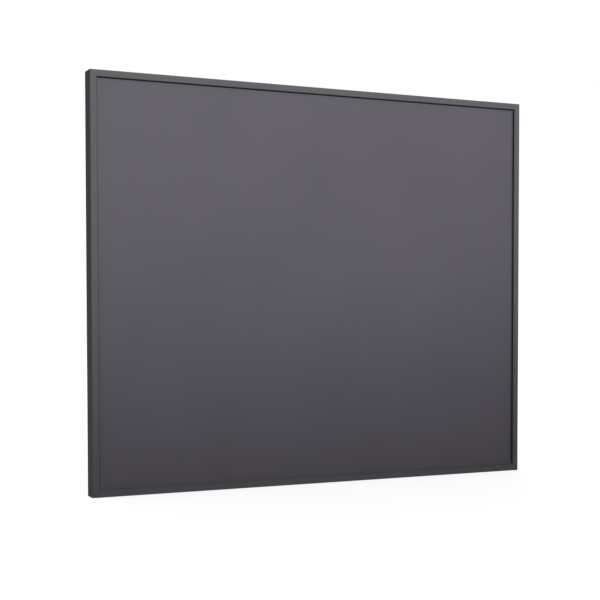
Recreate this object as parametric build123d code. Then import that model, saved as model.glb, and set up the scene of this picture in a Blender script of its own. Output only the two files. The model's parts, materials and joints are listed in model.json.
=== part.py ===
from build123d import *
from math import cos, radians, sin, sqrt, tan
import os

# Framed infrared panel heater on four wall hangers.
# The origin is the centre of the wall screw pattern, on the wall. +Z is up, the room is towards -Y,
# and +X is to the right of a person who faces the panel. All sizes are in millimetres.

# ---- Panel and frame profile ----
panel_width = 605.0
panel_height = 505.0
frame_depth = 22.0
frame_wall = 1.4
lip_width = 7.9
lip_thickness = 1.4
lip_return_wall = 1.2
lip_edge_radius = 0.5
sheet_recess = 4.0
profile_rib = 1.2
key_channel_reach = 4.4
hook_thickness = 1.2
hook_length = 1.6
landing_width = 12.0
rear_recess = 1.2

# ---- Corner keys ----
key_leg = 34.0
key_clearance = 0.1
key_screw_inset = 24.0
key_screw_radius = 2.0
key_screw_point = 0.5
key_socket_flats = 2.0
key_chamfer = 1.0

# ---- Radiant sheet and heating board ----
sheet_thickness = 1.0
sheet_bend_radius = 1.5
tray_rim = 4.8
tray_edge_gap = 0.6
tray_notch = 3.0
board_thickness = 1.5
board_margin = 15.0
board_corner = 4.0
busbar_width = 12.0
busbar_thickness = 0.4
busbar_inset = 12.0
terminal_reach = 40.0
tab_width = 6.3
tab_thickness = 0.8
tab_foot = 9.0
tab_step = 2.6
tab_blade = 9.0
tab_bend_radius = 0.6

# ---- Thermal cut-outs ----
cutout_length = 20.0
cutout_width = 8.0
cutout_height = 4.0
cutout_corner_radius = 1.2
cutout_edge_radius = 0.9
lower_cutout_rise = 80.0
upper_cutout_rise = 160.0
strap_thickness = 0.5
strap_width = 7.0
strap_foot = 6.0

# ---- Insulation ----
foil_thickness = 0.3
soft_clearance = 0.3
mat_edge_gap = 0.6
mat_corner = 6.0
pocket_depth = 6.0
window_margin = 3.0
window_above_stud = 12.0
window_above_loop = 6.0

# ---- Back plate ----
back_plate_thickness = 0.6
plate_edge_gap = 0.6
plate_screw_inset = 9.6
long_rail_screws = 5
long_rail_pitch = 125.0
short_rail_screws = 4
short_rail_pitch = 115.0
bead_length = 350.0
bead_width = 15.0
bead_height = 1.6
bead_pitch = 70.0
bead_count = 3
bead_rise = 10.0

# ---- Fasteners ----
plate_screw_radius = 1.4
plate_screw_length = 6.0
plate_screw_head_radius = 3.0
plate_screw_head_height = 1.1
box_screw_radius = 1.5
box_screw_length = 9.0
box_screw_head_radius = 2.9
box_screw_head_height = 1.3
board_screw_length = 5.0
cross_recess_width = 0.7
cross_recess_share = 0.6
head_crown_share = 0.5
rivet_radius = 1.6
rivet_head_radius = 3.2
rivet_head_height = 1.0
rivet_tail_radius = 2.2
rivet_tail_length = 3.0
rivet_crown_radius = 1.8
rivet_rim_height = 0.35
pass_clearance = 0.3
thread_clearance = 0.05

# ---- Wall hangers ----
hanger_side_inset = 72.5
hanger_end_inset = 82.5
hanger_length = 52.0
hanger_web = 34.0
hanger_foot = 14.0
hanger_thickness = 1.5
hanger_bend_radius = 2.0
rivet_pitch = 30.0
keyhole_entry_radius = 5.0
keyhole_slot_width = 5.2
keyhole_travel = 11.0

# ---- Control box ----
box_width = 120.0
box_height = 75.0
box_wall = 2.2
box_corner = 6.0
box_from_side = 132.5
box_from_bottom = 16.5
box_to_wall = 2.0
cover_thickness = 2.2
cover_edge_radius = 1.2
cover_reveal = 0.6
cover_tongue = 2.0
cover_tongue_wall = 1.2
cover_tongue_clearance = 0.25
boss_radius = 3.5
boss_inset = 4.6
standoff_height = 4.0
standoff_radius = 3.0
vent_width = 2.0
vent_length = 9.0
vent_pitch = 5.0
top_vents = 12
bottom_vents = 3
base_screw_side_gap = 13.8
base_screw_top_gap = 26.3
base_screw_bottom_gap = 13.3

# ---- Control circuit board ----
pcb_thickness = 1.6
pcb_side_margin = 12.0
pcb_top_margin = 4.5
pcb_bottom_room = 23.1
pcb_tongue_width = 23.0
tongue_to_wall = 5.1
pcb_hole_inset = 4.0
component_gap = 1.0
component_edge = 0.6
tallest_part = 10.5
cover_air_gap = 0.7
relay_length = 18.0
relay_width = 10.2
relay_height = 10.2
relay_edge_gap = 4.9
supply_length = 30.0
supply_width = 18.0
supply_edge_gap = 2.0
radio_length = 25.0
radio_width = 16.0
radio_board = 0.8
radio_edge_gap = 0.5
radio_can_length = 15.5
radio_can_height = 2.4
radio_can_margin = 2.0
radio_can_corner = 1.0
block_length = 15.6
block_width = 9.0
block_height = 10.0
block_pole_pitch = 5.0
block_opening = 1.9
block_mouth_height = 3.5
block_shoulder_height = 7.0
block_shoulder_depth = 2.2
block_screw_setback = 1.1
block_screw_sink = 2.5
block_gap = 0.7
block_edge_gap = 0.5

# ---- Rocker switch ----
rocker_from_side = 42.0
bezel_length = 21.0
bezel_width = 15.0
bezel_height = 1.8
bezel_corner = 1.6
bezel_edge_radius = 0.5
rocker_body_length = 19.0
rocker_body_width = 12.7
rocker_body_depth = 15.0
cutout_clearance = 0.2
rocker_well_length = 16.6
rocker_well_width = 10.6
rocker_well_floor = 5.0
paddle_clearance = 0.2
paddle_tilt = 10.0
paddle_shoulder = 0.9
paddle_ridge = 4.6
paddle_keel = 4.0
paddle_keel_half = 3.0
pivot_depth = 2.5
pivot_radius = 1.2
pivot_clearance = 0.05
pivot_engagement = 0.7
snap_reach = 0.7
snap_width = 6.0
snap_length = 4.0
lug_width = 4.8
lug_thickness = 0.8
lug_length = 8.0
lug_root = 3.5
lug_spread = 4.5
lug_clearance = 0.05
lug_chamfer = 0.8

# ---- Pairing button and status lamp ----
button_to_lamp = 11.0
button_radius = 3.0
button_proud = 1.4
button_flange_radius = 4.2
button_flange = 1.0
button_stem_radius = 1.5
button_clearance = 0.2
button_travel = 0.8
button_edge = 0.5
switch_width = 6.2
switch_body_depth = 3.5
switch_axis_height = 3.2
plunger_radius = 1.7
plunger_root = 1.2
plunger_clearance = 0.08
lamp_to_rocker = 21.0
light_pipe_radius = 1.5
light_pipe_flange_radius = 2.4
light_pipe_flange = 1.0
light_pipe_clearance = 0.05
lamp_gap = 0.3
lamp_length = 3.0
lens_chamfer = 0.6

# ---- Cable gland ----
gland_from_side = 20.0
gland_thread_radius = 5.9
gland_flats = 15.0
gland_flange = 3.0
gland_inside = 8.0
gland_outside = 6.0
gland_bore_radius = 3.6
gland_hole_clearance = 0.2
locknut_thickness = 3.0
cap_nut_length = 9.8
cap_nut_mouth_radius = 4.0
cap_nut_nose = 4.0
cap_nut_shoulder = 0.5
cap_nut_dome = 2.4
nut_bevel_angle = 30.0
seal_radius = 4.9
seal_bore_radius = 3.3
seal_length = 5.0
nut_clearance = 0.1

# ---- Wires ----
wire_radius = 1.1
grommet_from_side = 11.8
grommet_rise = 13.3
grommet_hole_radius = 6.0
grommet_flange_radius = 7.4
grommet_flange = 1.4
grommet_bore_radius = 3.6
grommet_lay = 1.9
grommet_wires = 3
wire_arc_share = 0.45
wire_stagger = 2.8
wire_lead_in = 3.0
wire_turn = 9.0
wire_ease = 1.0
wire_from_plate = 7.0
earth_from_plate = 4.5
end_run = 12.0
link_bow = 3.0
return_loop = 18.0
return_run = 30.0
stud_radius = 2.0
stud_length = 7.0
stud_offset_x = 14.0
stud_offset_z = 27.0
nut_flats = 7.0
nut_thickness = 3.0
lug_ring_radius = 3.8
lug_ring_thickness = 0.8

# ---- Levels, as distances behind the front of the lip ----
sheet_rear = sheet_recess + sheet_thickness
board_rear = sheet_rear + board_thickness
busbar_rear = board_rear + busbar_thickness
front_rib = sheet_recess + tray_rim
channel_front = front_rib + profile_rib
plate_front = frame_depth - rear_recess - back_plate_thickness
channel_rear = plate_front - profile_rib
foil_front = busbar_rear + soft_clearance
mat_front = foil_front + foil_thickness
mat_rear = plate_front - soft_clearance

# ---- Sizes that follow ----
box_room = standoff_height + pcb_thickness + tallest_part + cover_air_gap
tub_depth = box_wall + box_room
box_depth = tub_depth + cover_thickness
hanger_height = box_depth + box_to_wall
front_y = rear_recess - hanger_height - frame_depth
plate_y = -hanger_height
rim_y = plate_y + tub_depth
floor_y = plate_y + box_wall
port_y = (floor_y + rim_y) / 2
pcb_y = floor_y + standoff_height + pcb_thickness
box_x = panel_width / 2 - box_from_side - box_width / 2
box_z = box_from_bottom + box_height / 2 - panel_height / 2
box_place = Pos(box_x, 0, box_z)
key_thickness = key_channel_reach - 2 * key_clearance
board_width = panel_width - 2 * board_margin
board_height = panel_height - 2 * board_margin
busbar_x = board_width / 2 - busbar_inset
busbar_z = board_height / 2 - busbar_inset
hanger_x = panel_width / 2 - hanger_side_inset
hanger_z = panel_height / 2 - hanger_end_inset
rivet_x = hanger_web / 2 + hanger_foot / 2
cavity_half_width = box_width / 2 - box_wall
cavity_half_height = box_height / 2 - box_wall
through_wall = 3 * box_wall
boss_x = cavity_half_width - boss_inset
boss_z = cavity_half_height - boss_inset
pcb_half_width = box_width / 2 - pcb_side_margin
pcb_top = cavity_half_height - pcb_top_margin
pcb_bottom = pcb_bottom_room - cavity_half_height
tongue_bottom = tongue_to_wall - cavity_half_height
component_x = pcb_half_width - 2 * pcb_hole_inset - component_gap
supply_x = supply_length / 2 - component_x
radio_x = component_x - radio_width / 2
relay_x = (supply_x + supply_length / 2 + radio_x - radio_width / 2) / 2
block_x = pcb_half_width - 2 * pcb_hole_inset - block_length / 2 - block_gap
block_z = pcb_bottom + block_edge_gap + block_width / 2
button_y = pcb_y + switch_axis_height
pilot_radius = box_screw_radius + thread_clearance
gland_x = gland_from_side - box_width / 2
gland_corner_radius = gland_flats / sqrt(3)
rocker_x = box_width / 2 - rocker_from_side
lamp_x = rocker_x - lamp_to_rocker
button_x = lamp_x - button_to_lamp
tongue_x = (lamp_x + button_x) / 2
bottom_vent_x = (rocker_x + bezel_length / 2 + boss_x - boss_radius) / 2
grommet_x = cavity_half_width - grommet_from_side
grommet_z = grommet_rise - cavity_half_height
wire_x = box_x + grommet_x
wire_z = box_z + grommet_z


# ---- Helpers ----
rising = (Align.CENTER, Align.CENTER, Align.MIN)
hanging = (Align.CENTER, Align.CENTER, Align.MAX)


def behind_front(distance):
    """Y of the level this far behind the front of the lip."""
    return front_y + distance


def layer(outline, rear_y, thickness):
    """Gives an outline, drawn as seen from the room, a thickness from rear_y towards the room."""
    upright = Plane(origin=(0, rear_y, 0), x_dir=(1, 0, 0), z_dir=(0, -1, 0))
    return extrude(upright * outline, amount=thickness)


def drill(points, radius, rear_y, depth):
    """Round cutters at (x, z) points, from rear_y towards the room."""
    return [layer(Pos(x, z) * Circle(radius), rear_y, depth) for x, z in points]


def group(parts):
    """Keeps several separate solids in one node."""
    return Compound([solid for part in parts for solid in part.solids()])


def spread(count, pitch):
    """Evenly pitched offsets about zero."""
    return [(i - (count - 1) / 2) * pitch for i in range(count)]


def all_quarters(x, z):
    """The four points at plus and minus x and z."""
    return [(x, z), (-x, z), (-x, -z), (x, -z)]


def in_four_corners(part):
    """A part made for the top right corner, with its mirror images in the other three."""
    right = [part, mirror(part, about=Plane.XY)]
    return right + [mirror(copy, about=Plane.YZ) for copy in right]


def head_to_wall(x, z, seat_y):
    """Place for a fastener whose head sits on seat_y and faces the wall."""
    return Pos(x, seat_y, z) * Rot(-90, 0, 0)


def bottom_port(x, y):
    """Place on the outside of the box's lower wall, where +Z of a part points down and out."""
    return Pos(x, y, -box_height / 2) * Rot(180, 0, 0)


# ---- Fasteners ----
def screw(shank_radius, shank_length, head_radius, head_height):
    """Low cross-recessed screw: its head sits on z = 0 and its shank points down."""
    head = Cylinder(head_radius, head_height, align=rising)
    head = chamfer(head.edges().sort_by(Axis.Z)[-1], head_crown_share * head_height)
    shank = Cylinder(shank_radius, shank_length, align=hanging)
    body = head + chamfer(shank.edges().sort_by(Axis.Z)[0], shank_radius / 2)
    for turn in (0, 90):
        slot = Box(2 * cross_recess_share * head_radius, cross_recess_width, head_height)
        body -= Pos(0, 0, head_height) * Rot(0, 0, turn) * slot
    return body


def flush_rivet(grip):
    """Rivet whose head sits on z = 0 and whose shank ends flush with a stack that is grip thick."""
    crown = make_face(Polyline(
        (0, rivet_head_height),
        (rivet_crown_radius, rivet_head_height),
        (rivet_head_radius, rivet_rim_height),
        (rivet_head_radius, 0),
        (0, 0),
        close=True))
    shank = Cylinder(rivet_radius, grip, align=hanging)
    return revolve(Plane.XZ * crown, axis=Axis.Z) + shank


def blind_rivet(grip):
    """The same with the spread tail of a blind rivet behind the stack."""
    tail = Cone(rivet_radius, rivet_tail_radius, rivet_tail_length, align=hanging)
    return flush_rivet(grip) + Pos(0, 0, -grip) * tail


def hex_prism(flats, height):
    """Hexagon on z = 0 with two flats square to Y."""
    return extrude(RegularPolygon(flats / 2, 6, major_radius=False), amount=height)


# ---- Frame ----
def rail_section():
    """Frame profile: x runs inward from the outer face and y runs back from the front of the lip."""
    corner = (Align.MIN, Align.MIN)
    hook = frame_wall + key_channel_reach
    section = Rectangle(frame_wall, frame_depth, align=corner)
    section += Rectangle(lip_width, lip_thickness, align=corner)
    section += Pos(lip_width - lip_return_wall, 0) * Rectangle(lip_return_wall, sheet_recess, align=corner)
    section += Pos(0, front_rib) * Rectangle(hook + hook_thickness, profile_rib, align=corner)
    section += Pos(0, channel_rear) * Rectangle(landing_width, profile_rib, align=corner)
    for start in (channel_front, channel_rear - hook_length):
        section += Pos(hook, start) * Rectangle(hook_thickness, hook_length, align=corner)
    exposed = [
        section.vertices().sort_by_distance(Vector(u, v, 0))[0]
        for u, v in ((0, 0), (lip_width, 0), (0, frame_depth))]
    return fillet(exposed, lip_edge_radius)


def frame_rail(length, outer, screw_count, screw_pitch):
    """Mitred rail, made as the top one: its outer face is at z = outer and it runs along X."""
    start = Plane(origin=(-length / 2, front_y, outer), x_dir=(0, 0, -1), z_dir=(1, 0, 0))
    rail = extrude(start * rail_section(), amount=length)
    for side in (-1, 1):
        mitre = Plane(origin=(side * length / 2, front_y, outer), z_dir=(side, 0, -1))
        rail = split(rail, bisect_by=mitre, keep=Keep.BOTTOM)
    holes = [(x, outer - plate_screw_inset) for x in spread(screw_count, screw_pitch)]
    rail -= drill(holes, plate_screw_radius + thread_clearance, behind_front(plate_front), profile_rib)
    return rail


def frame_rails():
    """The four rails by name."""
    wide = frame_rail(panel_width, panel_height / 2, long_rail_screws, long_rail_pitch)
    tall = frame_rail(panel_height, panel_width / 2, short_rail_screws, short_rail_pitch)
    return {
        "frame_rail_top": wide,
        "frame_rail_right": Rot(0, 90, 0) * tall,
        "frame_rail_bottom": Rot(0, 180, 0) * wide,
        "frame_rail_left": Rot(0, -90, 0) * tall,
    }


def corner_key():
    """L-shaped key in the channels of the top right corner, with two threaded holes."""
    right = panel_width / 2
    top = panel_height / 2
    outer = frame_wall + key_clearance
    inner = outer + key_thickness
    outline = make_face(Polyline(
        (right - outer, top - outer),
        (right - outer, top - key_leg),
        (right - inner, top - key_leg),
        (right - inner, top - inner),
        (right - key_leg, top - inner),
        (right - key_leg, top - outer),
        close=True))
    outline = chamfer(outline.vertices().sort_by_distance(Vector(right, top, 0))[0], key_chamfer)
    key = layer(outline, behind_front(channel_rear - key_clearance), key_width())
    hole = Cylinder(key_screw_radius + thread_clearance, 2 * key_channel_reach)
    for place in key_screw_places():
        key -= place * hole
    return key


def key_width():
    """Front to back size of a key inside its channel."""
    return channel_rear - channel_front - 2 * key_clearance


def key_screw_places():
    """Where the two set screws of the top right corner meet the outer wall, pointing inward."""
    right = panel_width / 2
    top = panel_height / 2
    middle = behind_front((channel_front + channel_rear) / 2)
    return [
        Pos(right - key_screw_inset, middle, top - frame_wall) * Rot(180, 0, 0),
        Pos(right - frame_wall, middle, top - key_screw_inset) * Rot(0, -90, 0)]


def set_screw():
    """Set screw on +Z with a hexagon socket in its far end."""
    body = Cylinder(key_screw_radius, key_channel_reach, align=rising)
    body = chamfer(body.edges().sort_by(Axis.Z)[0], key_screw_point)
    socket = hex_prism(key_socket_flats, key_channel_reach / 2)
    return body - Pos(0, 0, key_channel_reach / 2) * socket


# ---- Radiant sheet, heating board and its terminals ----
def radiant_tray():
    """Folded sheet behind the lip: its rim is trapped between the lip's return and the front rib."""
    edge = frame_wall + tray_edge_gap
    width = panel_width - 2 * edge
    height = panel_height - 2 * edge
    rear_y = behind_front(front_rib)
    tray = layer(Rectangle(width, height), rear_y, tray_rim)
    tray = fillet(tray.faces().sort_by(Axis.Y)[0].edges(), sheet_bend_radius)
    tray = offset(tray, amount=-sheet_thickness, openings=tray.faces().sort_by(Axis.Y)[-1])
    notch = Rectangle(2 * tray_notch, 2 * tray_notch)
    for x, z in all_quarters(width / 2, height / 2):
        tray -= layer(Pos(x, z) * notch, rear_y, tray_rim - sheet_bend_radius)
    return tray


def terminal_points():
    """Where the two bus bars end, below and to each side of the wire grommet."""
    return [(wire_x - terminal_reach, -busbar_z), (wire_x + terminal_reach, -busbar_z)]


def heating_board():
    """Laminated board bonded to the back of the radiant sheet."""
    outline = RectangleRounded(board_width, board_height, board_corner)
    for x, z in terminal_points():
        outline -= Pos(x, z) * Circle(rivet_radius + thread_clearance)
    return layer(outline, behind_front(board_rear), board_thickness)


def busbar(side):
    """Copper strip up one side of the board, with a foot that runs to its terminal."""
    end_x, end_z = terminal_points()[0 if side < 0 else 1]
    route = Polyline((side * busbar_x, busbar_z), (side * busbar_x, -busbar_z), (end_x, end_z))
    strip = trace(route, line_width=busbar_width)
    strip -= Pos(end_x, end_z) * Circle(rivet_radius + thread_clearance)
    return layer(strip, behind_front(busbar_rear), busbar_thickness)


def terminal_tab(x, z):
    """Stepped spade tab riveted to the end of a bus bar, with its blade pointing up."""
    low = busbar_rear
    high = low + tab_step
    bends = FilletPolyline(
        (0, behind_front(low), -tab_foot / 2),
        (0, behind_front(low), tab_foot / 2),
        (0, behind_front(high), tab_foot / 2 + tab_step),
        (0, behind_front(high), tab_foot / 2 + tab_step + tab_blade),
        radius=tab_bend_radius)
    tab = thicken_strip(bends, tab_thickness, tab_width)
    tab = Pos(x, 0, z) * tab
    return tab - drill([(x, z)], rivet_radius + thread_clearance, behind_front(high), high - low)


def thicken_strip(bends, thickness, width):
    """Bent strip: its line lies at x = 0 on its room side, and its width is centred there."""
    wire = bends.wires()[0]
    face = Face(wire.offset_2d(thickness, side=Side.LEFT, closed=True))
    if face.center().Y < wire.center().Y:
        face = Face(wire.offset_2d(thickness, side=Side.RIGHT, closed=True))
    return extrude(face, amount=width / 2, dir=(1, 0, 0), both=True)


def terminal_rivets():
    """Rivets through tab, bus bar and board."""
    one = flush_rivet(tab_thickness + busbar_thickness + board_thickness)
    seat_y = behind_front(busbar_rear + tab_thickness)
    return group([head_to_wall(x, z, seat_y) * one for x, z in terminal_points()])


# ---- Thermal cut-outs ----
def cutout_heights():
    """Heights of the lower and upper cut-out."""
    return [wire_z + lower_cutout_rise, wire_z + upper_cutout_rise]


def thermal_cutout(z):
    """Flat steel cased cut-out that lies on the board, with a wire at each end."""
    outline = Pos(wire_x, z) * RectangleRounded(cutout_width, cutout_length, cutout_corner_radius)
    case = layer(outline, behind_front(board_rear + cutout_height), cutout_height)
    return fillet(case.faces().sort_by(Axis.Y)[-1].edges(), cutout_edge_radius)


def cutout_strap(z):
    """Bent strap over a cut-out, with its feet bonded to the board."""
    half = cutout_width / 2 + pass_clearance + strap_thickness
    low = board_rear + strap_thickness
    high = board_rear + cutout_height + strap_thickness
    outline = make_face(Polyline(
        (-half - strap_foot, board_rear),
        (-half - strap_foot, low),
        (-half, low),
        (-half, high),
        (half, high),
        (half, low),
        (half + strap_foot, low),
        (half + strap_foot, board_rear),
        (half - strap_thickness, board_rear),
        (half - strap_thickness, high - strap_thickness),
        (strap_thickness - half, high - strap_thickness),
        (strap_thickness - half, board_rear),
        close=True))
    across = Plane(origin=(wire_x, front_y, z), x_dir=(1, 0, 0), z_dir=(0, 0, 1))
    return extrude(across * outline, amount=strap_width / 2, both=True)


# ---- Insulation ----
def span_rectangle(low_x, high_x, low_z, high_z):
    """Rectangle between two corners, as seen from the room."""
    middle = Pos((low_x + high_x) / 2, (low_z + high_z) / 2)
    return middle * Rectangle(high_x - low_x, high_z - low_z)


def insulation_outline():
    """Mat outline with its T-shaped window over the terminals, the cut-outs and the wires."""
    edge = landing_width + mat_edge_gap
    outline = RectangleRounded(panel_width - 2 * edge, panel_height - 2 * edge, mat_corner)
    left_x, tab_z = terminal_points()[0]
    right_x = terminal_points()[1][0]
    side = tab_width / 2 + window_margin
    low_z = tab_z - tab_foot / 2 - window_margin
    shelf_z = wire_z + stud_offset_z + window_above_stud
    outline -= span_rectangle(left_x - side, right_x + side, low_z, shelf_z)
    strap_half = cutout_width / 2 + pass_clearance + strap_thickness + strap_foot
    high_z = wire_z + upper_cutout_rise + cutout_length / 2 + return_loop + window_above_loop
    outline -= span_rectangle(wire_x - strap_half - window_margin, right_x + side, low_z, high_z)
    return outline


def insulation_mat():
    """Mineral mat with pockets over the rivet tails and screw tips."""
    mat = layer(insulation_outline(), behind_front(mat_rear), mat_rear - mat_front)
    tails = hanger_rivet_points() + base_screw_points()
    mat -= drill(tails, rivet_tail_radius + soft_clearance, behind_front(mat_rear), pocket_depth)
    return mat


def reflector_foil():
    """Foil on the front of the mat."""
    return layer(insulation_outline(), behind_front(mat_front), foil_thickness)


# ---- Back plate ----
def plate_screw_points():
    """Screw places around the back plate."""
    top = panel_height / 2 - plate_screw_inset
    side = panel_width / 2 - plate_screw_inset
    points = [(x, z) for x in spread(long_rail_screws, long_rail_pitch) for z in (top, -top)]
    points += [(x, z) for z in spread(short_rail_screws, short_rail_pitch) for x in (side, -side)]
    return points


def bead(width_change, rear_y, thickness):
    """Pressed stiffening bead, sloped at 45 degrees all round."""
    outline = SlotOverall(bead_length - width_change, bead_width - width_change)
    upright = Plane(origin=(0, rear_y, 0), x_dir=(1, 0, 0), z_dir=(0, 1, 0))
    return extrude(upright * outline, amount=thickness, taper=45)


def back_plate():
    """Steel plate let into the back of the frame, with pressed beads between the hangers."""
    edge = frame_wall + plate_edge_gap
    outline = Rectangle(panel_width - 2 * edge, panel_height - 2 * edge)
    for x, z in plate_screw_points():
        outline -= Pos(x, z) * Circle(plate_screw_radius + pass_clearance)
    for x, z in hanger_rivet_points():
        outline -= Pos(x, z) * Circle(rivet_radius + thread_clearance)
    for x, z in base_screw_points():
        outline -= Pos(x, z) * Circle(pilot_radius)
    outline -= Pos(wire_x, wire_z) * Circle(grommet_hole_radius)
    plate = layer(outline, plate_y, back_plate_thickness)
    inner_change = 2 * (sqrt(2) - 1) * back_plate_thickness
    for offset_z in spread(bead_count, bead_pitch):
        place = Pos(0, 0, bead_rise + offset_z)
        plate += place * bead(0, plate_y, bead_height)
        plate -= place * bead(inner_change, plate_y - back_plate_thickness, bead_height)
    return plate


def plate_screws():
    """Screws that hold the back plate to the frame's landing."""
    one = screw(plate_screw_radius, plate_screw_length, plate_screw_head_radius, plate_screw_head_height)
    return group([head_to_wall(x, z, plate_y) * one for x, z in plate_screw_points()])


# ---- Wall hangers ----
def hanger_points():
    """Keyhole entry of each hanger by name."""
    return {
        "top_left": (-hanger_x, hanger_z),
        "top_right": (hanger_x, hanger_z),
        "bottom_left": (-hanger_x, -hanger_z),
        "bottom_right": (hanger_x, -hanger_z),
    }


def hanger_rivet_points():
    """Rivet places of all hangers, two in each foot."""
    points = []
    for x, z in hanger_points().values():
        points += [(x + dx, z + dz) for dx in (-rivet_x, rivet_x) for dz in spread(2, rivet_pitch)]
    return points


def wall_hanger(x, z):
    """Hat-shaped bracket with a keyhole in its web: the web lies on the wall, the feet on the back plate."""
    foot_y = plate_y + hanger_thickness
    half_web = hanger_web / 2
    bends = FilletPolyline(
        (-half_web - hanger_foot, foot_y),
        (-half_web, foot_y),
        (-half_web, 0),
        (half_web, 0),
        (half_web, foot_y),
        (half_web + hanger_foot, foot_y),
        radius=hanger_bend_radius)
    hat = make_brake_formed(hanger_thickness, hanger_length, bends, side=Side.RIGHT)
    hat = Pos(0, 0, -hat.bounding_box().center().Z) * hat
    keyhole = Circle(keyhole_entry_radius)
    slot = SlotCenterToCenter(keyhole_travel, keyhole_slot_width, rotation=90)
    keyhole += Pos(0, keyhole_travel / 2) * slot
    hat -= layer(keyhole, 0, hanger_thickness)
    feet = [(dx, dz) for dx in (-rivet_x, rivet_x) for dz in spread(2, rivet_pitch)]
    hat -= drill(feet, rivet_radius + thread_clearance, foot_y, hanger_thickness)
    return Pos(x, 0, z) * hat


def hanger_rivets():
    """Blind rivets through the hangers' feet and the back plate."""
    one = blind_rivet(hanger_thickness + back_plate_thickness)
    seat_y = plate_y + hanger_thickness
    return group([head_to_wall(x, z, seat_y) * one for x, z in hanger_rivet_points()])


# ---- Control box, made about its own middle ----
def box_outline(inset):
    """Rounded outline of the box, drawn in from its outside."""
    return RectangleRounded(box_width - 2 * inset, box_height - 2 * inset, box_corner - inset)


def base_screw_points():
    """Screws that hold the box base to the back plate."""
    return [(box_x + x, box_z + z) for x, z in base_screw_offsets()]


def base_screw_offsets():
    """The same three places, from the middle of the box."""
    x = cavity_half_width - base_screw_side_gap
    upper = cavity_half_height - base_screw_top_gap
    lower = base_screw_bottom_gap - cavity_half_height
    return [(x, upper), (-x, upper), (-x, lower)]


def pcb_hole_points():
    """Screw holes near the corners of the circuit board."""
    x = pcb_half_width - pcb_hole_inset
    return [(x, pcb_top - pcb_hole_inset), (-x, pcb_top - pcb_hole_inset),
            (-x, pcb_bottom + pcb_hole_inset), (x, pcb_bottom + pcb_hole_inset)]


def vent_slots(count, x, z):
    """Slots through an upper or lower wall of the box."""
    outline = SlotOverall(vent_length, vent_width, rotation=90)
    slot = extrude(Plane.XY * outline, amount=through_wall / 2, both=True)
    return [Pos(x + dx, port_y, z) * slot for dx in spread(count, vent_pitch)]


def control_box_base():
    """Moulded tub on the back plate: bosses, standoffs, vents and the openings in its lower wall."""
    tub = layer(box_outline(0), rim_y, tub_depth)
    tub -= layer(box_outline(box_wall), rim_y, box_room)
    corners = all_quarters(boss_x, boss_z)
    for x, z in corners:
        web = Pos(x + boss_inset / 2 * (1 if x > 0 else -1), z) * Rectangle(boss_inset, box_wall)
        tub += layer(Pos(x, z) * Circle(boss_radius) + web, rim_y, box_room)
    tub -= drill(corners, pilot_radius, rim_y, box_screw_length)
    for x, z in pcb_hole_points():
        tub += layer(Pos(x, z) * Circle(standoff_radius), floor_y + standoff_height, standoff_height)
    tub -= drill(pcb_hole_points(), pilot_radius, floor_y + standoff_height, standoff_height)
    tub -= drill(base_screw_offsets(), box_screw_radius + pass_clearance, floor_y, box_wall)
    tub -= drill([(grommet_x, grommet_z)], grommet_hole_radius, floor_y, box_wall)
    tub -= vent_slots(top_vents, 0, box_height / 2)
    tub -= vent_slots(bottom_vents, bottom_vent_x, -box_height / 2)
    hole_length = rocker_body_length + 2 * cutout_clearance
    hole_width = rocker_body_width + 2 * cutout_clearance
    tub -= bottom_port(rocker_x, port_y) * Box(hole_length, hole_width, through_wall)
    round_ports = [
        (button_x, button_y, button_radius + button_clearance),
        (lamp_x, button_y, light_pipe_radius + light_pipe_clearance),
        (gland_x, port_y, gland_thread_radius + gland_hole_clearance)]
    for x, y, radius in round_ports:
        tub -= bottom_port(x, y) * Cylinder(radius, through_wall)
    return tub


def control_box_cover():
    """Lid with a soft outer edge, a shadow groove, a tongue on three sides and sunk screw seats."""
    cover_y = rim_y + cover_thickness
    lid = layer(box_outline(0), cover_y, cover_thickness)
    lid = fillet(lid.faces().sort_by(Axis.Y)[-1].edges(), cover_edge_radius)
    lid -= layer(box_outline(0) - box_outline(cover_reveal), rim_y + cover_reveal, cover_reveal)
    inset = box_wall + cover_tongue_clearance
    tongue = box_outline(inset) - box_outline(inset + cover_tongue_wall)
    tongue -= Pos(0, -box_height / 2) * Rectangle(box_width, box_height / 2)
    for x, z in all_quarters(boss_x, boss_z):
        reach = boss_inset + boss_radius
        tongue -= Pos(x, z) * Rectangle(2 * reach, 2 * reach)
    lid += layer(tongue, rim_y, cover_tongue)
    seats = all_quarters(boss_x, boss_z)
    lid -= drill(seats, box_screw_radius + pass_clearance, cover_y, cover_thickness)
    lid -= drill(seats, box_screw_head_radius + pass_clearance, cover_y, box_screw_head_height)
    return lid


def box_screw(length):
    """Screw of the size used all over the box."""
    return screw(box_screw_radius, length, box_screw_head_radius, box_screw_head_height)


def control_pcb():
    """Circuit board with a tongue that reaches down to the button and the lamp."""
    outline = span_rectangle(-pcb_half_width, pcb_half_width, pcb_bottom, pcb_top)
    tongue_side = pcb_tongue_width / 2
    outline += span_rectangle(tongue_x - tongue_side, tongue_x + tongue_side, tongue_bottom, pcb_bottom)
    for x, z in pcb_hole_points():
        outline -= Pos(x, z) * Circle(box_screw_radius + pass_clearance)
    return layer(outline, pcb_y, pcb_thickness)


def on_pcb(outline, height):
    """Component that stands on the board."""
    return layer(outline, pcb_y + height, height)


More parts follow.
